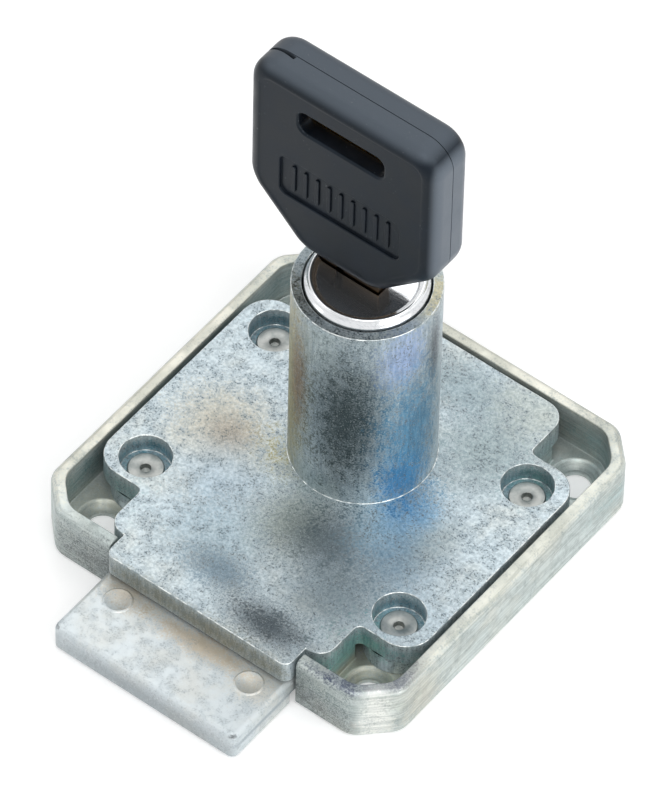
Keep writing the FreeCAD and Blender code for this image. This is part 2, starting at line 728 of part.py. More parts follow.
def wafer_level(number):
    """Middle level of a wafer, counted from the top."""
    return f"({WAFER_TOP} - {number} * {WAFER_PITCH})"


def cut_line(number):
    """Right edge of the blade at a wafer's level."""
    return f"({BLADE_RIGHT} - cut_first - {number} * cut_step)"


def build_wafer(number):
    """Plate with a window for the blade and a lug for its spring."""
    body = new_body(f"wafer_{number + 1}")
    sketch = level(body, "plate", f"{wafer_level(number)} - wafer_thick / 2")
    lug_reach = "wafer_side + lug_height"
    outline(sketch, [
        (minus(WAFER_HALF), "-wafer_side"),
        (WAFER_HALF, "-wafer_side"),
        (WAFER_HALF, "wafer_side"),
        ("-lug_right", "wafer_side"),
        ("-lug_right", lug_reach),
        ("-lug_left", lug_reach),
        ("-lug_left", "wafer_side"),
        (minus(WAFER_HALF), "wafer_side"),
    ])
    half = "blade_thick / 2 + key_play"
    window_right = f"{cut_line(number)} + cut_gap"
    rectangle(sketch, f"{BLADE_LEFT} - cut_gap", window_right, minus(half), half)
    pad(body, sketch, "wafer_thick")
    return body


def build_spring(number):
    """Folded strip between a wafer's lug and the end of its pocket."""
    body = new_body(f"wafer_spring_{number + 1}")
    sketch = level(body, "strip", f"{wafer_level(number)} - spring_half")
    fold = f"((spring_room_right + lug_right - wafer_play) / {SPRING_FOLDS})"
    path = []
    for step in range(SPRING_FOLDS + 1):
        across = "spring_low" if step % 2 else "spring_high"
        path.append((f"wafer_play / 2 - lug_right + {step} * {fold}", f"wafer_side + {across}"))
    behind = [(x, f"{y} + spring_strip") for x, y in reversed(path)]
    outline(sketch, path + behind)
    pad(body, sketch, "2 * spring_half")
    return body


def blade_corners():
    """Outline of the key's head, shoulder and blade, clockwise from the tip."""
    left = BLADE_LEFT
    right = BLADE_RIGHT
    deepest = cut_line(WAFERS - 1)
    middle_x = "-key_shift"
    corners = [
        (f"{left} + blade_bevel", BLADE_TIP),
        (left, f"{BLADE_TIP} + blade_bevel"),
        (left, SHOULDER_FOOT),
        (f"{middle_x} - {SHOULDER_HALF}", SHOULDER_FOOT),
        (f"{middle_x} - {SHOULDER_HALF}", INSERT_LOW),
        (f"{middle_x} - {INSERT_HALF} + insert_cut", INSERT_LOW),
        (f"{middle_x} - {INSERT_HALF}", f"{INSERT_LOW} + insert_cut"),
        (f"{middle_x} - {INSERT_HALF}", INSERT_TOP),
        (f"{middle_x} + {INSERT_HALF}", INSERT_TOP),
        (f"{middle_x} + {INSERT_HALF}", f"{INSERT_LOW} + insert_cut"),
        (f"{middle_x} + {INSERT_HALF} - insert_cut", INSERT_LOW),
        (f"{middle_x} + {SHOULDER_HALF}", INSERT_LOW),
        (f"{middle_x} + {SHOULDER_HALF}", SHOULDER_FOOT),
        (right, SHOULDER_FOOT),
        (right, f"{wafer_level(0)} + {WAFER_PITCH} - cut_flat"),
    ]
    for number in range(WAFERS):
        corners.append((cut_line(number), f"{wafer_level(number)} + cut_flat"))
        corners.append((cut_line(number), f"{wafer_level(number)} - cut_flat"))
    corners.append((f"{deepest} - blade_bevel", BLADE_TIP))
    return corners


def slot_rectangle(sketch, grow):
    """Key-ring slot, made larger all round by a formula."""
    rectangle(sketch, f"-(key_shift + slot_half + {grow})", f"slot_half - key_shift + {grow}",
              f"{SLOT_LOW} - ({grow})", f"{SLOT_LOW} + slot_height + {grow}")


def build_blade():
    body = new_body("key_blade")
    sketch = upright(body, "outline", "-blade_thick / 2")
    outline(sketch, blade_corners())
    slot_rectangle(sketch, "-ring_lip")
    pad(body, sketch, "blade_thick")
    for side, depth in (("front", "blade_thick / 2"), ("back", "mill_depth - blade_thick / 2")):
        sketch = upright(body, f"milled_{side}", depth)
        offset = "-mill_offset" if side == "front" else "mill_offset"
        rectangle(sketch, f"{offset} - key_shift - mill_half", f"{offset} - key_shift + mill_half",
                  f"{BLADE_TIP} - blade_bevel", BOW_FOOT)
        pocket(body, sketch, "mill_depth")
    return body


def build_bow(label, front):
    """One half of the bow, hollowed for the key's head, with slot and plain panel."""
    body = new_body(label)
    middle_x = "-key_shift"
    right = [
        (f"{middle_x} + bow_half - bow_slant", BOW_FOOT),
        (f"{middle_x} + bow_half", f"{BOW_FOOT} + bow_taper"),
        (f"{middle_x} + bow_half", BOW_TOP),
    ]
    left = [
        (f"{middle_x} - bow_half", BOW_TOP),
        (f"{middle_x} - bow_half", f"{BOW_FOOT} + bow_taper"),
        (f"{middle_x} - bow_half + bow_slant", BOW_FOOT),
    ]
    sketch = upright(body, "outline", "seam_gap" if front else "-seam_gap")
    outline(sketch, right + left)
    pad(body, sketch, "bow_thick - seam_gap", back=not front)
    dress(body, "Fillet", "bow_corner", edge_along(1, [right[2], left[0]]), "top_corners")
    bends = edge_along(1, [right[0], right[1], left[1], left[2]])
    dress(body, "Fillet", "bow_bend", bends, "bends")
    face = value("-bow_thick" if front else "bow_thick")

    def on_face(edge):
        return all(abs(spot.y - face) < 0.01 for spot in (middle(edge), edge.Vertexes[0].Point))

    dress(body, "Chamfer", "bow_edge", on_face, "edges")
    add_bow_cuts(body, front)
    return body


def add_bow_cuts(body, front):
    """Slot for the key ring, plain recessed panel and the room for the key's head."""
    start = "bow_thick" if front else "0"
    sketch = upright(body, "ring_slot", start)
    slot_rectangle(sketch, "0")
    pocket(body, sketch, "bow_thick")
    heights = (SLOT_LOW, f"{SLOT_LOW} + slot_height")
    ends = [(x, z) for x in ("-(key_shift + slot_half)", "slot_half - key_shift") for z in heights]
    dress(body, "Fillet", "slot_round", edge_along(1, ends), "slot_corners")

    start = "bow_thick" if front else "panel_depth - bow_thick"
    sketch = upright(body, "panel", start)
    left = "-(key_shift + panel_half)"
    right = "panel_half - key_shift"
    high = f"{PANEL_LOW} + panel_height"
    rectangle(sketch, left, right, PANEL_LOW, high)
    pocket(body, sketch, "panel_depth")
    spots = [(x, z) for x in (left, right) for z in (PANEL_LOW, high)]
    dress(body, "Fillet", "panel_round", edge_along(1, spots), "panel_corners")

    start = "blade_thick / 2 + insert_play" if front else "0"
    sketch = upright(body, "head_room", start)
    reach = f"{INSERT_HALF} + insert_play"
    rectangle(sketch, f"-(key_shift + {reach})", f"{reach} - key_shift",
              f"{INSERT_LOW} - insert_play", f"{INSERT_TOP} + insert_play")
    pocket(body, sketch, "blade_thick / 2 + insert_play")
    sketch = upright(body, "shoulder_room", start)
    reach = f"{SHOULDER_HALF} + insert_play"
    rectangle(sketch, f"-(key_shift + {reach})", f"{reach} - key_shift",
              f"{BOW_FOOT} - bow_edge", INSERT_LOW)
    pocket(body, sketch, "blade_thick / 2 + insert_play")


def build_all():
    """Every sub-part, in one list."""
    bodies = [build_casing(), build_cover(), build_bolt(), build_plug(), build_cap()]
    bodies += [build_cam(), build_clip(), build_blade()]
    bodies += [build_bow("key_bow_front", True), build_bow("key_bow_back", False)]
    names = ("front_right", "front_left", "rear_right", "rear_left")
    for name, (x, y) in zip(names, RIVETS):
        bodies.append(build_rivet(f"rivet_{name}", x, y))
    for number in range(WAFERS):
        bodies.append(build_wafer(number))
        bodies.append(build_spring(number))
    return bodies


def export_all(bodies):
    """Check every object, then write one file for each sub-part."""
    doc.recompute()
    for item in doc.Objects:
        if {"Invalid", "Error"} & set(item.State):
            raise ValueError(f"{item.Name} is {item.State}")
    for body in bodies:
        shape = body.Shape
        if shape.isNull() or not shape.isValid() or len(shape.Solids) != 1:
            raise ValueError(f"{body.Label} is not one valid solid")
        shape.exportStep(f"parts/{body.Label}.step")
        box = shape.BoundBox
        print(f"{body.Label}: {shape.Volume:.1f} mm3, z {box.ZMin:.2f} to {box.ZMax:.2f}")


fill_sheet()
export_all(build_all())
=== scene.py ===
import math

import bmesh
import bpy
from mathutils import Matrix, Vector


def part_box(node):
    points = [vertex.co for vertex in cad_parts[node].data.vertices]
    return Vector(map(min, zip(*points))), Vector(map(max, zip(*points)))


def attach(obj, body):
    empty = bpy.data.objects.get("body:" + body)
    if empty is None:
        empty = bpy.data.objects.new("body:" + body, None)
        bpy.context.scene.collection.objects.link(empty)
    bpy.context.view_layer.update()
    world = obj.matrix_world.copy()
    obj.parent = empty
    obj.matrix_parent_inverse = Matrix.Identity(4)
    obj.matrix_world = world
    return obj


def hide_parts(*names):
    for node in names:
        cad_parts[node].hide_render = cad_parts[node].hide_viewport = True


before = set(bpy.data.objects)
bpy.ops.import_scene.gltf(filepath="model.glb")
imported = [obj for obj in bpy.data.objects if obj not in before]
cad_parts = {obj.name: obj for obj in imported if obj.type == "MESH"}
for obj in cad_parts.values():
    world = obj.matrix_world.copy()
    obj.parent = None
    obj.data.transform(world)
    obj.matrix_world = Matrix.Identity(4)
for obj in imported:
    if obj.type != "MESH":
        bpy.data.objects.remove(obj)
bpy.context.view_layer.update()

MM = 0.001

# Camera, from the photograph's perspective: angles in degrees, lengths in millimetres.
IMAGE_HEIGHT_PX = 800
VIEW_TURN = 36.81
VIEW_RISE = 50.67
VIEW_ROLL = 1.49
VIEW_DISTANCE = 1200
VIEW_AIM = (0, 0, 20)
VIEW_OFFSET = (4.094, 1.631)
FOCAL_PX = 9606.5
SENSOR_MM = 36
NEAREST = 50
FURTHEST = 10000

# Studio: the floor's gap in millimetres, its half side and the lamps' aim in metres.
FLOOR_GAP = 0.05
FLOOR_HALF = 3
LAMP_AIM = (0, 0, 0.02)
SKY_LIGHT = 0.42
FLOOR_GLOW = 0.3

# Live rounding of the pieces' edges: least angle in degrees, strips across each edge.
EDGE_ANGLE = 32
EDGE_SEGMENTS = 2

# Small edge roundings, in millimetres.
CASING_EDGE = 0.2
COVER_EDGE = 0.11
BOLT_EDGE = 0.25
BLADE_EDGE = 0.08
SEAM_EDGE = 0.045
RIB_EDGE = 0.08

# Key bow, in millimetres.
KEY_X = -2.0
BOW_EDGE = 2.0
BOW_CORNER = 3.8
BOW_BEND = 5.0
FOOT_BEND = 4.5
FOOT_DROP = 0.5
BOW_TAPER = 8.3
BOW_SLANT = 8.5
SLOT_HALF = 6.5
SLOT_LOW = 66.0
SLOT_HIGH = 69.5
SLOT_CORNER = 1.2
SLOT_SOFTNESS = 0.4
PANEL_HALF = 9.2
PANEL_LOW = 52.8
PANEL_HIGH = 59.6
PANEL_CORNER = 1.0
PANEL_DEPTH = 0.4
PANEL_SOFTNESS = 0.16
LEDGE_WIDTH = 0.22
LEDGE_DEPTH = 0.1
CUT_DEPTH = 6
# Bands of the bow painted lighter as a sheen: the sides by distance from the key's middle, the top
# by height.
SIDE_SHEEN = (13.2, 14.3)
TOP_SHEEN = (72.6, 74.0)

# Room inside each half of the bow for the key's head and blade, in millimetres.
ROOM_DEPTH = 1.2
HEAD_HALF = 10.3
HEAD_LOW = 49.4
HEAD_HIGH = 71.1
HEAD_CORNER = 0.3
BLADE_HALF = 4.6
BLADE_LOW = 40.0
BLADE_HIGH = 49.6
BLADE_CORNER = 0.1

# Wedge that opens the seam at the bow's upper left, in millimetres, its turn in degrees.
GAPE_INWARD = 1.6
GAPE_FORWARD = 0.05
GAPE_TURN = -6
GAPE_SIZE = (6.4, 0.5, 8)

# Grip ribs on the bow's panel, in millimetres.
RIB_COUNT = 9
RIB_PITCH = 1.8
RIB_HALF = 0.3
RIB_MARGIN = 1.1
RIB_CORNER = 0.28
RIB_HEIGHT = 0.25
RIB_SUNK = 0.03

# Rivets: radii, then depths below the top of the head, in millimetres.
RIVET_SHANK = 1.5
RIVET_HEAD = 2.4
RIVET_RIM = 0.2
RIVET_DIMPLE = 0.7
RIVET_HEAD_DEPTH = 0.7
RIVET_FACE_DEPTH = 0.03
RIVET_DIMPLE_DEPTH = 1.0

# Cap over the core: radii, then heights, in millimetres.
CAP_BORE = 7.35
CAP_OUTER = 7.9
CAP_SHOULDER = 0.5
CAP_RIM = 0.25
CAP_DISH = 90.1
CAP_DISH_CENTRE = 131.0
CAP_UNDERSIDE = 39.85
MOUTH_SIZE = (9.4, 2.7, 6)
MOUTH_MIDDLE = 40

# Ejector marks on the bolt's head, in millimetres.
MARK_RADIUS = 2.0
MARK_X = 10.4
MARK_Y = -36.2
MARK_RING = 0.14
MARK_SUNK = 0.02


def linear(colour):
    """Linear RGBA of an sRGB colour written as six hex digits."""
    parts = [int(colour[i:i + 2], 16) / 255 for i in (0, 2, 4)]
    return tuple(c / 12.92 if c <= 0.04045 else ((c + 0.055) / 1.055) ** 2.4
                 for c in parts) + (1.0,)


def add(tree, kind, inputs=None, **settings):
    """Adds a node: settings are its properties, inputs are values or the outputs that feed it."""
    item = tree.nodes.new("ShaderNode" + kind)
    for name, setting in settings.items():
        setattr(item, name, setting)
    for name, source in (inputs or {}).items():
        if isinstance(source, bpy.types.NodeSocket):
            tree.links.new(source, item.inputs[name])
        else:
            item.inputs[name].default_value = source
    return item


def blank(name):
    """New material with an empty node tree, and its Object coordinates."""
    material = bpy.data.materials.new(name)
    material.use_nodes = True
    tree = material.node_tree
    tree.nodes.clear()
    coords = add(tree, "TexCoord").outputs["Object"]
    return material, tree, coords


def close(tree, inputs, bump=None):
    """Principled surface on the output, with a bump where one is given."""
    surface = add(tree, "BsdfPrincipled", inputs)
    if bump is not None:
        tree.links.new(bump, surface.inputs["Normal"])
    output = add(tree, "OutputMaterial")
    tree.links.new(surface.outputs["BSDF"], output.inputs["Surface"])


def grain(tree, coords, size, detail, stretch=(1, 1, 1), distortion=0.0):
    """Noise whose clouds are about size millimetres across, stretched along an axis if asked."""
    scaled = add(tree, "VectorMath", {0: coords, 1: [1 / s for s in stretch]}, operation="MULTIPLY")
    cloud = add(tree, "TexNoise", {
        "Vector": scaled.outputs["Vector"],
        "Scale": 1 / (size * MM),
        "Detail": detail,
        "Roughness": 0.6,
        "Distortion": distortion,
    })
    return cloud.outputs["Fac"]


def between(tree, source, low, high, bottom=0.0, top=1.0):
    """The part of source from low to high, spread smoothly over bottom to top."""
    spread = add(tree, "MapRange", {
        "Value": source, "From Min": low, "From Max": high, "To Min": bottom, "To Max": top,
    }, interpolation_type="SMOOTHSTEP")
    return spread.outputs["Result"]


def blend(tree, share, under, over, mode="MIX"):
    """Colour over laid on colour under by a share."""
    mixed = add(tree, "Mix", {0: share, 6: under, 7: over}, data_type="RGBA", blend_type=mode)
    return mixed.outputs[2]


def times(tree, first, second):
    """Product of two values."""
    return add(tree, "Math", {0: first, 1: second}, operation="MULTIPLY").outputs[0]


def patch_share(tree, coords, ragged, place, reach, strength):
    """Share of a patch of tint round a place in millimetres, its edge broken into specks by a
    noise.
    """
    away = add(tree, "VectorMath", {0: coords, 1: [p * MM for p in place]}, operation="SUBTRACT")
    scaled = add(tree, "VectorMath", {
        0: away.outputs[0], 1: [1 / (r * MM) for r in reach],
    }, operation="MULTIPLY")
    span = add(tree, "VectorMath", {0: scaled.outputs[0]}, operation="LENGTH").outputs["Value"]
    torn = add(tree, "Math", {0: ragged, 1: span}, operation="ADD").outputs[0]
    return between(tree, torn, 2.15, 1.05, 0.0, strength)


def plated_zinc(name, plate, shade, warm, tint_patches=(), brushed=None, speckle=0.5):
    """Die-cast zinc, zinc plated and passivated: pale, slightly blue, softly clouded, freckled.

    The passivation film is thin and uneven, so the grey drifts to blue and straw, and the
    casting's pores show as fine dark freckles that gather in patches.
    """
    material, tree, coords = blank(name)
    clouds = grain(tree, coords, 6.0, 4.0, distortion=0.3)
    blotches = grain(tree, coords, 1.3, 5.0, distortion=0.2)
    freckles = grain(tree, coords, 0.26, 3.0)
    fine = grain(tree, coords, 0.17, 2.0)
    colour = blend(tree, between(tree, clouds, 0.40, 0.70, 0.0, 0.5), linear(plate), linear(warm))
    colour = blend(tree, between(tree, blotches, 0.42, 0.75, 0.0, 0.5), colour, linear(shade))
    coarse = add(tree, "Math", {0: blotches, 1: 1.4, 2: -0.75},
                 operation="MULTIPLY_ADD").outputs[0]
    ragged = add(tree, "Math", {0: freckles, 1: 1.9, 2: coarse},
                 operation="MULTIPLY_ADD").outputs[0]
    # Patches of tint: stains, and in places painted shade, highlights and reflections.
    for tint, place, reach, strength in tint_patches:
        share = patch_share(tree, coords, ragged, place, reach, strength)
        colour = blend(tree, share, colour, linear(tint))
    if brushed:
        streaks = grain(tree, coords, 0.3, 3.0, stretch=brushed)
        colour = blend(tree, between(tree, streaks, 0.38, 0.62, 0.0, 0.38), colour, linear(shade),
                       "MULTIPLY")
    dots = times(tree, between(tree, freckles, 0.51, 0.62), between(tree, blotches, 0.40, 0.58))
    colour = blend(tree, times(tree, dots, speckle), colour, linear("3F4A50"))
    bright = between(tree, fine, 0.56, 0.72, 0.0, 0.4)
    colour = blend(tree, bright, colour, linear("D5DCDD"))
    roughness = between(tree, blotches, 0.3, 0.7, 0.36, 0.54)
    height = add(tree, "Math", {0: freckles, 1: 0.6, 2: fine}, operation="MULTIPLY_ADD").outputs[0]
    bump = add(tree, "Bump", {"Height": height, "Strength": 0.25, "Distance": 0.03 * MM})
    close(tree, {"Base Color": colour, "Metallic": 0.6, "Roughness": roughness}, bump.outputs[0])
    return material


def burnished_edge():
    """Edges of the castings, where handling has rubbed the film off and left bright metal."""
    material, tree, coords = blank("burnished_zinc_edge")
    patches = grain(tree, coords, 1.1, 4.0)
    colour = blend(tree, between(tree, patches, 0.40, 0.62), linear("DEE3E1"), linear("8C979A"))
    roughness = between(tree, patches, 0.3, 0.7, 0.24, 0.42)
    close(tree, {"Base Color": colour, "Metallic": 0.85, "Roughness": roughness})
    return material


def polished_chrome():
    """Brass pressing, nickel and chrome plated: a mirror with a few fine wipe marks."""
    material, tree, coords = blank("chrome_plated_pressing")
    wipe = grain(tree, coords, 0.3, 3.0, stretch=(8, 1, 1))
    colour = blend(tree, between(tree, wipe, 0.45, 0.8), linear("E6E8EA"), linear("CDD0D4"))
    roughness = between(tree, wipe, 0.3, 0.8, 0.08, 0.2)
    close(tree, {"Base Color": colour, "Metallic": 0.94, "Roughness": roughness})
    return material


def key_brass():
    """Rolled brass of the key, milled: golden, with cutter lines, and painted dark beside the bow
    as its shade.
    """
    material, tree, coords = blank("milled_key_brass")
    lines = grain(tree, coords, 0.12, 2.0, stretch=(1, 1, 14))
    tarnish = grain(tree, coords, 1.2, 4.0)
    colour = blend(tree, between(tree, tarnish, 0.4, 0.75), linear("C99A4B"), linear("8E6430"))
    colour = blend(tree, between(tree, lines, 0.5, 0.8, 0.0, 0.4), colour, linear("E2C07A"))
    # Painted shade: the blade darkened under the bow, so its reflection in the cap's dish is dark
    # too.
    bow_shade_share = patch_share(tree, coords, tarnish, (KEY_X, 0, 43.0), (10, 10, 3.6), 0.96)
    colour = blend(tree, bow_shade_share, colour, linear("1A1512"))
    bump = add(tree, "Bump", {"Height": lines, "Strength": 0.25, "Distance": 0.02 * MM})
    close(tree, {"Base Color": colour, "Metallic": 1.0, "Roughness": 0.3}, bump.outputs[0])
    return material


def wafer_brass():
    """Stamped brass of the wafers: duller, with the rolled sheet's grain."""
    material, tree, coords = blank("stamped_wafer_brass")
    sheet = grain(tree, coords, 0.2, 3.0, stretch=(6, 1, 1))
    colour = blend(tree, between(tree, sheet, 0.35, 0.75), linear("C29A52"), linear("9A7438"))
    close(tree, {"Base Color": colour, "Metallic": 1.0, "Roughness": 0.38})
    return material


def turned_steel(name, colour_low, colour_high, rough):
    """Plain steel, turned or drawn, with fine lines round the piece."""
    material, tree, coords = blank(name)
    lines = grain(tree, coords, 0.15, 3.0, stretch=(1, 1, 0.3))
    clouds = grain(tree, coords, 1.5, 3.0)
    colour = blend(tree, between(tree, clouds, 0.35, 0.7), linear(colour_low), linear(colour_high))
    bump = add(tree, "Bump", {"Height": lines, "Strength": 0.3, "Distance": 0.02 * MM})
    close(tree, {"Base Color": colour, "Metallic": 0.9, "Roughness": rough}, bump.outputs[0])
    return material


def moulded_black():
    """Black plastic of the bow, injection moulded: satin, lightly spark-eroded, a little dusty.

    Its narrow sides and its top are painted greyer, a painted sheen of the light falling on them.
    """
    material, tree, coords = blank("moulded_black_plastic")
    texture = grain(tree, coords, 0.16, 2.0)
    clouds = grain(tree, coords, 4.0, 3.0)
    dust = grain(tree, coords, 0.3, 1.0)
    place = add(tree, "SeparateXYZ", {"Vector": coords})
    off = add(tree, "Math", {0: place.outputs["X"], 1: KEY_X * MM}, operation="SUBTRACT")
    away = add(tree, "Math", {0: off.outputs[0]}, operation="ABSOLUTE").outputs[0]
    # Painted sheen: lighter grey on the bow's narrow sides and its top.
    side_sheen = between(tree, away, SIDE_SHEEN[0] * MM, SIDE_SHEEN[1] * MM, 0.0, 0.95)
    top = between(tree, place.outputs["Z"], TOP_SHEEN[0] * MM, TOP_SHEEN[1] * MM, 0.0, 0.62)
    painted_sheen = add(tree, "Math", {0: side_sheen, 1: top}, operation="MAXIMUM").outputs[0]
    colour = blend(tree, between(tree, clouds, 0.35, 0.7), linear("0A0F15"), linear("11171F"))
    colour = blend(tree, painted_sheen, colour, linear("626A73"))
    colour = blend(tree, between(tree, dust, 0.72, 0.80, 0.0, 0.5), colour, linear("6E7376"))
    roughness = between(tree, clouds, 0.3, 0.7, 0.32, 0.42)
    bump = add(tree, "Bump", {"Height": texture, "Strength": 0.3, "Distance": 0.03 * MM})
    close(tree, {
        "Base Color": colour,
        "Roughness": roughness,
        "IOR": 1.53,
        "Specular IOR Level": 0.2,
        "Specular Tint": (0.72, 0.86, 1.0, 1.0),
    }, bump.outputs[0])
    return material


def new_piece(name, bm, material, body, slot, *stands_for):
    """Object at the origin from a bmesh, with its material, body and replaced nodes; slot is not
    used.
    """
    mesh = bpy.data.meshes.new(name)
    bm.to_mesh(mesh)
    bm.free()
    mesh.materials.append(material)
    piece = bpy.data.objects.new(name, mesh)
    bpy.context.scene.collection.objects.link(piece)
    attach(piece, body)
    if stands_for:
        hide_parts(*stands_for)
    return piece


def smooth(piece, angle):
    """Smooth shading, with edges sharper than an angle kept crisp."""
    piece.data.shade_smooth()
    piece.data.set_sharp_from_angle(angle=math.radians(angle))


def round_edges(piece, width):
    """Rounds every sharp edge by a width in millimetres, while flat faces stay flat."""
    piece.data.shade_smooth()
    bevel = piece.modifiers.new("edges", "BEVEL")
    bevel.width = width * MM
    bevel.segments = EDGE_SEGMENTS
    bevel.limit_method = "ANGLE"
    bevel.angle_limit = math.radians(EDGE_ANGLE)
    bevel.use_clamp_overlap = False
    bevel.loop_slide = False
    flats = piece.modifiers.new("flats", "WEIGHTED_NORMAL")
    flats.weight = 100


def node_mesh(node):
    """Copy of a CAD node's mesh, its loose triangles joined into whole flat faces."""
    bm = bmesh.new()
    bm.from_mesh(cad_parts[node].data)
    bmesh.ops.remove_doubles(bm, verts=bm.verts, dist=0.002 * MM)
    bmesh.ops.dissolve_limit(bm, angle_limit=math.radians(0.5), verts=bm.verts, edges=bm.edges)
    return bm


def worn_copy(node, material, body, slot, width, edge=None):
    """Stands for a CAD node with softly rounded edges, in a second material where one is given."""
    piece = new_piece(f"{node}_finished", node_mesh(node), material, body, slot, node)
    round_edges(piece, width)
    if edge:
        piece.data.materials.append(edge)
        piece.modifiers["edges"].material = 1


def spun(profile, steps, centre=(0, 0)):
    """Turned solid from a profile of (radius, height) points in millimetres."""
    bm = bmesh.new()
    points = [bm.verts.new((r * MM, 0, z * MM)) for r, z in profile]
    edges = [bm.edges.new(pair) for pair in zip(points, points[1:])]
    bmesh.ops.spin(bm, geom=points + edges, cent=(0, 0, 0), axis=(0, 0, 1), angle=math.tau,
                   steps=steps, use_merge=True, use_duplicate=False)
    bmesh.ops.remove_doubles(bm, verts=bm.verts, dist=0.001 * MM)
    bmesh.ops.recalc_face_normals(bm, faces=bm.faces)
    bmesh.ops.translate(bm, verts=bm.verts, vec=(centre[0] * MM, centre[1] * MM, 0))
    return bm


def arc(centre, radius, start, end, steps):
    """Points of a circular arc, angles in degrees."""
    turns = [math.radians(start + (end - start) * i / steps) for i in range(steps + 1)]
    return [(centre[0] + radius * math.cos(a), centre[1] + radius * math.sin(a)) for a in turns]


def cut(piece, bm, name):
    """Takes a closed shape out of a piece for good."""
    mesh = bpy.data.meshes.new(name)
    bm.to_mesh(mesh)
    bm.free()
    tool = bpy.data.objects.new(name, mesh)
    bpy.context.scene.collection.objects.link(tool)
    modifier = piece.modifiers.new(name, "BOOLEAN")
    modifier.operation = "DIFFERENCE"
    modifier.solver = "EXACT"
    modifier.object = tool
    bpy.context.view_layer.update()
    shown = piece.evaluated_get(bpy.context.evaluated_depsgraph_get())
    result = bpy.data.meshes.new_from_object(shown)
    piece.modifiers.clear()
    old = piece.data
    piece.data = result
    bpy.data.meshes.remove(old)
    bpy.data.objects.remove(tool)
    bpy.data.meshes.remove(mesh)


def plate(corners, front, back):
    """Flat plate in the XZ plane from (x, z, rounding) corners, between two depths."""
    bm = bmesh.new()
    outline = bm.faces.new([bm.verts.new((x * MM, front * MM, z * MM)) for x, z, _ in corners])
    spots = list(outline.verts)
    for index, spot in enumerate(spots):
        here = Vector(corners[index][:2])
        before = (Vector(corners[index - 1][:2]) - here).normalized()
        after = (Vector(corners[(index + 1) % len(corners)][:2]) - here).normalized()
        half = before.angle(after) / 2
        bmesh.ops.bevel(bm, geom=[spot], offset=corners[index][2] / math.tan(half) * MM,
                        offset_type="OFFSET", segments=10, profile=0.5, affect="VERTICES",
                        material=-1)
    made = bmesh.ops.extrude_face_region(bm, geom=bm.faces[:])
    moved = [item for item in made["geom"] if isinstance(item, bmesh.types.BMVert)]
    bmesh.ops.translate(bm, verts=moved, vec=(0, (back - front) * MM, 0))
    bmesh.ops.recalc_face_normals(bm, faces=bm.faces)
    return bm


def block(left, right, low, high, corner, front, back):
    """Upright block with rounded corners, between two depths."""
    return plate([(left, low, corner), (right, low, corner),
                  (right, high, corner), (left, high, corner)], front, back)


def bow_corners():
    """Outline of the bow, each corner with its rounding."""
    low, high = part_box("key_bow_front")
    left, right = low[0] / MM, high[0] / MM
    foot, top = low[2] / MM - FOOT_DROP, high[2] / MM
    return [
        (right - BOW_SLANT, foot, FOOT_BEND), (right, foot + BOW_TAPER, BOW_BEND),
        (right, top, BOW_CORNER), (left, top, BOW_CORNER),
        (left, foot + BOW_TAPER, BOW_BEND), (left + BOW_SLANT, foot, FOOT_BEND),
    ]


def soften(piece, level, box, width):
    """Rounds the edges of a hole where it meets a level face, inside a box of x and z."""
    left, right, low, high = (side * MM for side in box)
    bm = bmesh.new()
    bm.from_mesh(piece.data)
    slack = 0.01 * MM
    mouth = [edge for edge in bm.edges if edge.calc_face_angle(0) > 0.6 and all(
        abs(v.co.y - level * MM) < slack and left - slack < v.co.x < right + slack
        and low - slack < v.co.z < high + slack for v in edge.verts)]
    bmesh.ops.bevel(bm, geom=mouth, offset=width * MM, offset_type="OFFSET", segments=4,
                    profile=0.5, affect="EDGES", material=-1)
    bm.to_mesh(piece.data)
    bm.free()


def open_seam(piece, corner):
    """Takes a thin slanted wedge out of the seam beside a corner of the bow."""
    place = Matrix.Translation((corner[0] + GAPE_INWARD * MM, -GAPE_FORWARD * MM, corner[1]))
    turn = Matrix.Rotation(math.radians(GAPE_TURN), 4, "Z")
    size = Matrix.Diagonal([side * MM for side in GAPE_SIZE] + [1])
    gape = bmesh.new()
    bmesh.ops.create_cube(gape, size=1, matrix=place @ turn @ size)
    cut(piece, gape, "gape")


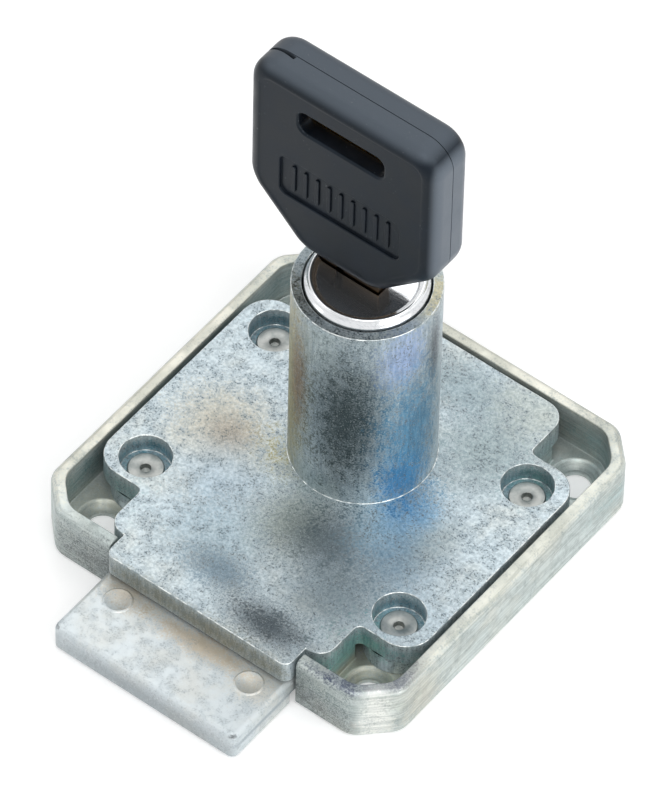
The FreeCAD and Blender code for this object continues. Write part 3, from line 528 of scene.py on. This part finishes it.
def bow_half(node, material):
    """One moulded half of the bow: broadly rounded rim, ring slot, plain ribbed panel."""
    low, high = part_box(node)
    forward = low[1] < -high[1]
    face, seam = (low[1], high[1]) if forward else (high[1], low[1])
    face, seam = face / MM, seam / MM
    side = -1 if forward else 1
    bm = plate(bow_corners(), face, seam)
    rim = [edge for edge in bm.edges if all(abs(v.co.y - face * MM) < 1e-7 for v in edge.verts)]
    bmesh.ops.bevel(bm, geom=rim, offset=BOW_EDGE * MM, offset_type="OFFSET", segments=9,
                    profile=0.5, affect="EDGES", material=-1)
    front = max(bm.faces, key=lambda f: f.calc_area() if abs(f.normal.y) > 0.99 and
                abs(f.calc_center_median().y - face * MM) < 1e-6 else 0)
    bmesh.ops.inset_region(bm, faces=[front], thickness=LEDGE_WIDTH * MM,
                           depth=-LEDGE_DEPTH * MM, use_even_offset=True)
    piece = new_piece(f"{node}_moulded", bm, material, "key", "bow_plastic", node)
    depth = CUT_DEPTH * side
    level = face - side * LEDGE_DEPTH
    floor = level - side * PANEL_DEPTH
    slot = (KEY_X - SLOT_HALF, KEY_X + SLOT_HALF, SLOT_LOW, SLOT_HIGH)
    cut(piece, block(*slot, SLOT_CORNER, -depth, depth), "slot")
    soften(piece, level, slot, SLOT_SOFTNESS)
    panel = (KEY_X - PANEL_HALF, KEY_X + PANEL_HALF, PANEL_LOW, PANEL_HIGH)
    cut(piece, block(*panel, PANEL_CORNER, floor, depth), "panel")
    soften(piece, level, panel, PANEL_SOFTNESS)
    room = ROOM_DEPTH * side
    cut(piece, block(KEY_X - HEAD_HALF, KEY_X + HEAD_HALF, HEAD_LOW, HEAD_HIGH, HEAD_CORNER,
                     -room, room), "head_room")
    cut(piece, block(KEY_X - BLADE_HALF, KEY_X + BLADE_HALF, BLADE_LOW, BLADE_HIGH, BLADE_CORNER,
                     -room, room), "blade_room")
    if forward:
        open_seam(piece, (low[0], high[2]))
    round_edges(piece, SEAM_EDGE)
    ribs(f"{node}_ribs", material, floor, side)


def ribs(name, material, floor, side):
    """Plain upright grip ribs on the floor of the recessed panel."""
    bm = bmesh.new()
    for number in range(RIB_COUNT):
        x = KEY_X + (number - (RIB_COUNT - 1) / 2) * RIB_PITCH
        rib = block(x - RIB_HALF, x + RIB_HALF, PANEL_LOW + RIB_MARGIN, PANEL_HIGH - RIB_MARGIN,
                    RIB_CORNER, floor - side * RIB_SUNK, floor + side * RIB_HEIGHT)
        mesh = bpy.data.meshes.new("rib")
        rib.to_mesh(mesh)
        rib.free()
        bm.from_mesh(mesh)
        bpy.data.meshes.remove(mesh)
    piece = new_piece(name, bm, material, "key", "bow_plastic")
    round_edges(piece, RIB_EDGE)


def rivet(node, material):
    """Rivet with a spread head, a centre dimple and a hollow, chamfered back end."""
    low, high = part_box(node)
    centre = ((low[0] + high[0]) / 2 / MM, (low[1] + high[1]) / 2 / MM)
    foot, top = low[2] / MM, high[2] / MM
    seat = top - RIVET_HEAD_DEPTH
    face = top - RIVET_FACE_DEPTH
    profile = [(0, foot + 0.3), (0.7, foot + 0.3), (0.9, foot), (1.35, foot),
               (RIVET_SHANK, foot + 0.2), (RIVET_SHANK, seat), (2.25, seat),
               (RIVET_HEAD, seat + 0.12), (RIVET_HEAD, top - 0.25)]
    profile += arc((RIVET_HEAD - RIVET_RIM, top - RIVET_RIM), RIVET_RIM, 0, 90, 4)
    profile += [(1.6, face), (RIVET_DIMPLE + 0.12, face), (RIVET_DIMPLE, top - 0.12),
                (RIVET_DIMPLE - 0.1, top - 0.85), (0, top - RIVET_DIMPLE_DEPTH)]
    piece = new_piece(f"{node}_spread", spun(profile, 48, centre), material, "lock_body",
                      "rivet_steel", node)
    smooth(piece, 40)


def cap(material):
    """Bright pressed cap: shoulder, sloping ring, rolled rim and a shallow dish with the keyway."""
    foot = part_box("plug_cap")[0][2] / MM
    profile = [(CAP_BORE, foot), (CAP_OUTER, foot), (CAP_OUTER, 40.2)]
    profile += arc((CAP_OUTER - CAP_SHOULDER, 40.5), CAP_SHOULDER, 0, 35, 3)
    profile += [(7.6, 40.95), (7.42, 41.3)]
    profile += arc((7.1, 41.4), CAP_RIM, 10, 110, 5)
    profile += [(6.7, 41.5), (6.3, 41.15)]
    profile += arc((0, CAP_DISH_CENTRE), CAP_DISH, -86, -90, 12)
    profile += [(0, CAP_UNDERSIDE), (CAP_BORE, CAP_UNDERSIDE), (CAP_BORE, foot)]
    piece = new_piece("plug_cap_bright", spun(profile, 96), material, "core", "cap_chrome",
                      "plug_cap")
    place = Matrix.Translation((KEY_X * MM, 0, MOUTH_MIDDLE * MM))
    size = Matrix.Diagonal([side * MM for side in MOUTH_SIZE] + [1])
    mouth = bmesh.new()
    bmesh.ops.create_cube(mouth, size=1, matrix=place @ size)
    cut(piece, mouth, "mouth")
    smooth(piece, 30)


def bolt_marks(material):
    """Two shallow round ejector marks on the top of the bolt head, each with a raised ring."""
    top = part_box("bolt")[1][2] / MM
    floor = top + MARK_SUNK
    ring = top + MARK_RING
    for side, word in ((-1, "left"), (1, "right")):
        profile = [(0, floor), (1.5, floor), (1.7, ring), (1.8, ring),
                   (MARK_RADIUS, top - MARK_SUNK), (0, top - MARK_SUNK)]
        piece = new_piece(f"bolt_mark_{word}", spun(profile, 48, (side * MARK_X, MARK_Y)),
                          material, "bolt", "bolt_zinc")
        smooth(piece, 40)


def aim_camera():
    """Camera at the photograph's angle, distance, roll and framing."""
    turn, rise, roll = (math.radians(a) for a in (VIEW_TURN, VIEW_RISE, VIEW_ROLL))
    back = Vector((math.sin(turn) * math.cos(rise), -math.cos(turn) * math.cos(rise),
                   math.sin(rise)))
    level = Vector((math.cos(turn), math.sin(turn), 0))
    up = back.cross(level)
    right = math.cos(roll) * level + math.sin(roll) * up
    upward = -math.sin(roll) * level + math.cos(roll) * up
    place = (Vector(VIEW_AIM) + back * VIEW_DISTANCE
             - right * VIEW_OFFSET[0] - upward * VIEW_OFFSET[1]) * MM
    data = bpy.data.cameras.new("camera")
    data.sensor_width = SENSOR_MM
    data.lens = FOCAL_PX * SENSOR_MM / IMAGE_HEIGHT_PX
    data.clip_start = NEAREST * MM
    data.clip_end = FURTHEST * MM
    camera = bpy.data.objects.new("camera", data)
    turned = Matrix((right, upward, back)).transposed().to_4x4()
    camera.matrix_world = Matrix.Translation(place) @ turned
    bpy.context.scene.collection.objects.link(camera)
    bpy.context.scene.camera = camera


def lamp(name, place, size, power):
    """Square softbox at a place in metres, facing the object."""
    data = bpy.data.lights.new(name, "AREA")
    data.size = size
    data.energy = power
    item = bpy.data.objects.new(name, data)
    item.location = place
    facing = Vector(LAMP_AIM) - Vector(place)
    item.rotation_euler = facing.to_track_quat("-Z", "Y").to_euler()
    bpy.context.scene.collection.objects.link(item)


def seen_by_eye(tree):
    """1 for what the camera, mirrors and glass see, 0 for what lights the scene."""
    path = add(tree, "LightPath")
    first = add(tree, "Math", {
        0: path.outputs["Is Camera Ray"], 1: path.outputs["Is Glossy Ray"],
    }, operation="MAXIMUM")
    return add(tree, "Math", {
        0: first.outputs[0], 1: path.outputs["Is Transmission Ray"],
    }, operation="MAXIMUM").outputs[0]


def surroundings():
    """White world that is bright to the eye and lights the object more softly."""
    world = bpy.data.worlds.new("white_surroundings")
    bpy.context.scene.world = world
    world.use_nodes = True
    tree = world.node_tree
    tree.nodes.clear()
    seen = seen_by_eye(tree)
    strength = add(tree, "Mix", {0: seen, 2: SKY_LIGHT, 3: 1.0}, data_type="FLOAT")
    backdrop = add(tree, "Background", {"Color": (1, 1, 1, 1), "Strength": strength.outputs[0]})
    output = add(tree, "OutputWorld")
    tree.links.new(backdrop.outputs[0], output.inputs["Surface"])


def paper_floor():
    """Wide pale floor just under the object, a little brighter to the eye than its light."""
    bm = bmesh.new()
    bmesh.ops.create_grid(bm, x_segments=1, y_segments=1, size=FLOOR_HALF,
                          matrix=Matrix.Translation((0, 0, -FLOOR_GAP * MM)))
    mesh = bpy.data.meshes.new("floor")
    bm.to_mesh(mesh)
    bm.free()
    floor = bpy.data.objects.new("floor", mesh)
    bpy.context.scene.collection.objects.link(floor)
    material = bpy.data.materials.new("pale_floor")
    material.use_nodes = True
    tree = material.node_tree
    tree.nodes.clear()
    glow = times(tree, seen_by_eye(tree), FLOOR_GLOW)
    paper = add(tree, "BsdfDiffuse", {"Color": linear("F2F2F2")})
    light = add(tree, "Emission", {"Color": (1, 1, 1, 1), "Strength": glow})
    both = add(tree, "AddShader", {0: paper.outputs[0], 1: light.outputs[0]})
    output = add(tree, "OutputMaterial")
    tree.links.new(both.outputs[0], output.inputs["Surface"])
    mesh.materials.append(material)


def studio():
    """Pale floor, white surroundings and soft lamps."""
    surroundings()
    paper_floor()
    lamp("right_softbox", (0.55, 0.0, 0.42), 0.45, 1.2)
    lamp("low_softbox", (0.55, -0.16, 0.14), 0.3, 0.8)
    lamp("front_softbox", (0.2, -0.3, 0.55), 0.3, 1.0)
    lamp("top_softbox", (-0.12, 0.25, 0.6), 0.5, 0.85)
    lamp("left_fill", (-0.45, -0.35, 0.35), 0.35, 0.5)


def finish_node(node, material):
    """Better material on a CAD node that stays as it is."""
    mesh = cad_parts[node].data
    mesh.materials.clear()
    mesh.materials.append(material)


# Each stain below is a tint, its place and reach in millimetres, and its strength. They were
# placed one by one.
# Some of them are painted light rather than stains: painted shade, highlights and reflections,
# marked where they stand.


def cover_zinc():
    """Plated zinc of the cover, stained where the object is, with painted shade and painted
    reflections among the stains.
    """
    plate_stains_and_shade = [
        # From the plate's left corner round to its right one.
        ("BDB6A4", (-16.0, -8.5, 8.5), (8.0, 7.0, 2.0), 0.75),
        ("8F8070", (-14.0, -9.0, 8.5), (4.0, 3.4, 2.0), 0.5),
        ("9FB2C0", (-10.0, -15.0, 8.5), (7.0, 6.0, 2.0), 0.55),
        ("93AAB6", (-5.5, -23.0, 8.5), (8.0, 7.0, 2.0), 0.6),
        ("577080", (-1.5, -27.0, 8.5), (6.0, 3.2, 2.0), 0.7),
        ("333E45", (8.5, -30.0, 8.5), (7.5, 3.4, 2.0), 0.9),
        ("8C958E", (1.0, -15.5, 8.5), (6.0, 6.0, 2.0), 0.8),
        ("55636A", (6.5, -15.0, 8.5), (6.5, 6.0, 2.0), 0.75),
        ("A2C4D8", (11.0, -7.5, 8.5), (5.5, 7.5, 2.0), 0.85),
        ("78A8CB", (12.4, -4.4, 8.5), (3.0, 3.4, 2.0), 0.6),
        ("7F97A6", (15.0, -12.0, 8.5), (5.0, 7.0, 2.0), 0.65),
        ("6F7F86", (12.0, -21.0, 8.5), (7.0, 6.5, 2.0), 0.65),
        # Painted shade over the cover's right rear, on this line and the next.
        ("8D9C9D", (13.0, 9.0, 8.5), (8.5, 8.5, 2.0), 0.75),
        ("8B9DA3", (4.5, 15.5, 8.5), (9.0, 5.0, 2.0), 0.75),
        ("A2A79F", (17.0, -6.5, 8.5), (3.0, 5.0, 2.0), 0.4),
        # Painted shade over the cover's right rear as well.
        ("AEB4AC", (15.0, 18.0, 8.5), (9.0, 5.0, 2.0), 0.6),
    ]
    # Walls of the rivets' counterbores, where the film is thickest.
    counterbore_stains = [("4F8C9C", (x, y, 6.5), (5.4, 5.4, 1.8), 0.9)
                          for y in (-18.5, 7.8) for x in (-20.15, 20.15)]
    side_stains = [
        # The cover's side walls over the screw pockets, then the tongue's front face.
        ("86BDB8", (17.5, -25.0, 5.8), (6.5, 6.5, 2.3), 0.9),
        ("7FA8A6", (-18.0, -25.0, 5.8), (6.5, 6.5, 2.3), 0.8),
        ("86A9A6", (20.5, 13.5, 5.8), (6.5, 6.5, 2.3), 0.8),
        ("6B6A58", (0.0, -34.2, 6.6), (30.0, 1.4, 2.6), 0.8),
    ]
    barrel_tints_and_painted_light = [
        # The barrel's tone, then round from its left side to its right side, then its rim. Partly
        # the film's real tints, partly painted light: the olive left side, the dark middle and the
        # pale blue right side paint reflections and shade.
        ("6F868F", (0.0, 0.0, 27.0), (15.0, 15.0, 20.0), 0.85),
        ("98905E", (-6.2, -7.2, 25.0), (6.2, 4.8, 22.0), 0.95),
        ("7A5A42", (-3.9, -8.7, 27.0), (2.2, 2.2, 10.0), 0.7),
        ("BAC6C6", (0.4, -9.5, 36.0), (3.0, 3.0, 8.0), 0.8),
        ("94A7AC", (0.5, -9.5, 10.5), (5.0, 3.0, 3.0), 0.6),
        # Painted dark reflection down the barrel's middle.
        ("2E3B3D", (3.8, -8.7, 24.0), (6.6, 5.0, 16.0), 0.95),
        ("9DB3DA", (8.6, -3.6, 35.5), (3.4, 4.0, 6.5), 0.85),
        ("39424C", (9.3, 1.8, 33.0), (1.4, 1.8, 8.0), 0.85),
        ("4E8BAE", (9.2, -2.2, 19.0), (4.6, 5.4, 14.0), 0.9),
        ("3C88B8", (8.8, -3.2, 12.0), (3.6, 4.6, 5.0), 0.8),
        ("39414B", (-2.0, -6.5, 41.0), (10.0, 6.5, 0.9), 0.95),
        ("BFB48C", (8.0, 3.5, 40.8), (4.0, 5.0, 0.8), 0.8),
    ]
    tint_patches = plate_stains_and_shade + counterbore_stains + side_stains + barrel_tints_and_painted_light
    return plated_zinc("passivated_zinc_cover", "C9D5DA", "93A3AC", "C9CBC4", tint_patches,
                       brushed=(1.5, 1.5, 9), speckle=0.7)


def casing_zinc():
    """Plated zinc of the casing, stained where the object is, with a painted shade and a painted
    highlight among the stains.
    """
    tint_patches = [
        # Walls of the corner pockets and of the left side, then the pockets' floors.
        ("8FC9C1", (19.0, -25.0, 5.2), (8.5, 7.5, 3.2), 0.9),
        ("7FA9A6", (-21.0, -25.0, 5.0), (7.5, 7.5, 3.2), 0.8),
        ("86A9AB", (22.0, 16.0, 5.0), (7.5, 8.0, 3.2), 0.8),
        ("6F9096", (-26.2, 0.0, 5.0), (2.4, 30.0, 3.4), 0.7),
        ("C4C0AE", (20.0, -26.0, 2.0), (7.0, 7.0, 1.6), 0.85),
        ("BDBBAC", (-21.0, -25.0, 2.0), (7.0, 7.0, 1.6), 0.8),
        # The front wall, the tops of the walls, and the front corner's top and facet.
        # Painted shade: the front wall darkened where the lamps leave it dim.
        ("5B6163", (0.0, -32.9, 3.2), (34.0, 1.8, 7.0), 0.95),
        ("E2DFD1", (-27.0, -4.0, 8.6), (4.0, 40.0, 0.8), 0.9),
        ("DADACE", (27.0, -4.0, 8.6), (4.0, 40.0, 0.8), 0.85),
        ("E2DFD1", (0.0, 22.0, 8.6), (40.0, 4.0, 0.8), 0.85),
        ("454E66", (22.0, -33.0, 8.8), (6.5, 5.0, 0.9), 0.9),
        ("454E66", (27.0, -27.0, 8.8), (4.0, 4.5, 0.9), 0.8),
        # Painted highlight: the front corner's facet lightened where light falls on it.
        ("ECEDE8", (26.0, -30.6, 3.6), (2.6, 2.6, 6.0), 0.95),
        ("C9C4B6", (28.4, -24.0, 3.6), (2.0, 5.0, 6.0), 0.6),
    ]
    return plated_zinc("passivated_zinc_casing", "C6CFCD", "98A2A1", "CCCABE", tint_patches,
                       brushed=(22, 22, 1), speckle=0.15)


def bolt_zinc():
    """Plated zinc of the bolt, stained where the object is."""
    tint_patches = [
        # Under the cover's edge, then the bolt's end face, its side and a burr at its corner.
        ("BCA98C", (2.0, -35.2, 4.5), (9.0, 2.2, 2.0), 0.7),
        ("B3A48C", (-10.0, -34.6, 4.5), (4.5, 2.6, 2.0), 0.65),
        ("C4B9A4", (11.5, -36.5, 4.5), (3.0, 3.0, 2.0), 0.45),
        ("8B9296", (0.0, -44.6, 1.6), (22.0, 0.9, 2.6), 0.8),
        ("8E9BA3", (14.6, -38.0, 2.5), (1.0, 12.0, 0.45), 0.8),
        ("3A4045", (14.0, -44.1, 4.5), (0.4, 0.4, 0.4), 0.9),
    ]
    return plated_zinc("passivated_zinc_bolt", "CBD3D6", "AAB5BA", "C9C8BF", tint_patches,
                       speckle=0.25)


def build():
    """Every piece with its finish."""
    cover = cover_zinc()
    casing = casing_zinc()
    bolt = bolt_zinc()
    worn_copy("casing", casing, "lock_body", "casing_zinc", CASING_EDGE)
    worn_copy("cover", cover, "lock_body", "cover_zinc", COVER_EDGE, burnished_edge())
    worn_copy("bolt", bolt, "bolt", "bolt_zinc", BOLT_EDGE)
    bolt_marks(bolt)
    steel = turned_steel("bright_rivet_steel", "A9ABA8", "8C918F", 0.4)
    for place in ("front_left", "front_right", "rear_left", "rear_right"):
        rivet(f"rivet_{place}", steel)
    cap(polished_chrome())
    worn_copy("key_blade", key_brass(), "key", "key_brass", BLADE_EDGE)
    black = moulded_black()
    bow_half("key_bow_front", black)
    bow_half("key_bow_back", black)
    finish_node("plug", plated_zinc("bare_zinc_core", "B3B8B8", "8B9192", "ABA79C"))
    finish_node("drive_cam", turned_steel("pressed_cam_steel", "8F9597", "6E7577", 0.42))
    spring = turned_steel("spring_steel", "7C8286", "5C6165", 0.3)
    finish_node("cam_clip", spring)
    brass = wafer_brass()
    for number in range(1, 7):
        finish_node(f"wafer_{number}", brass)
        finish_node(f"wafer_spring_{number}", spring)


build()
aim_camera()
studio()
bpy.context.scene.view_settings.view_transform = "Standard"
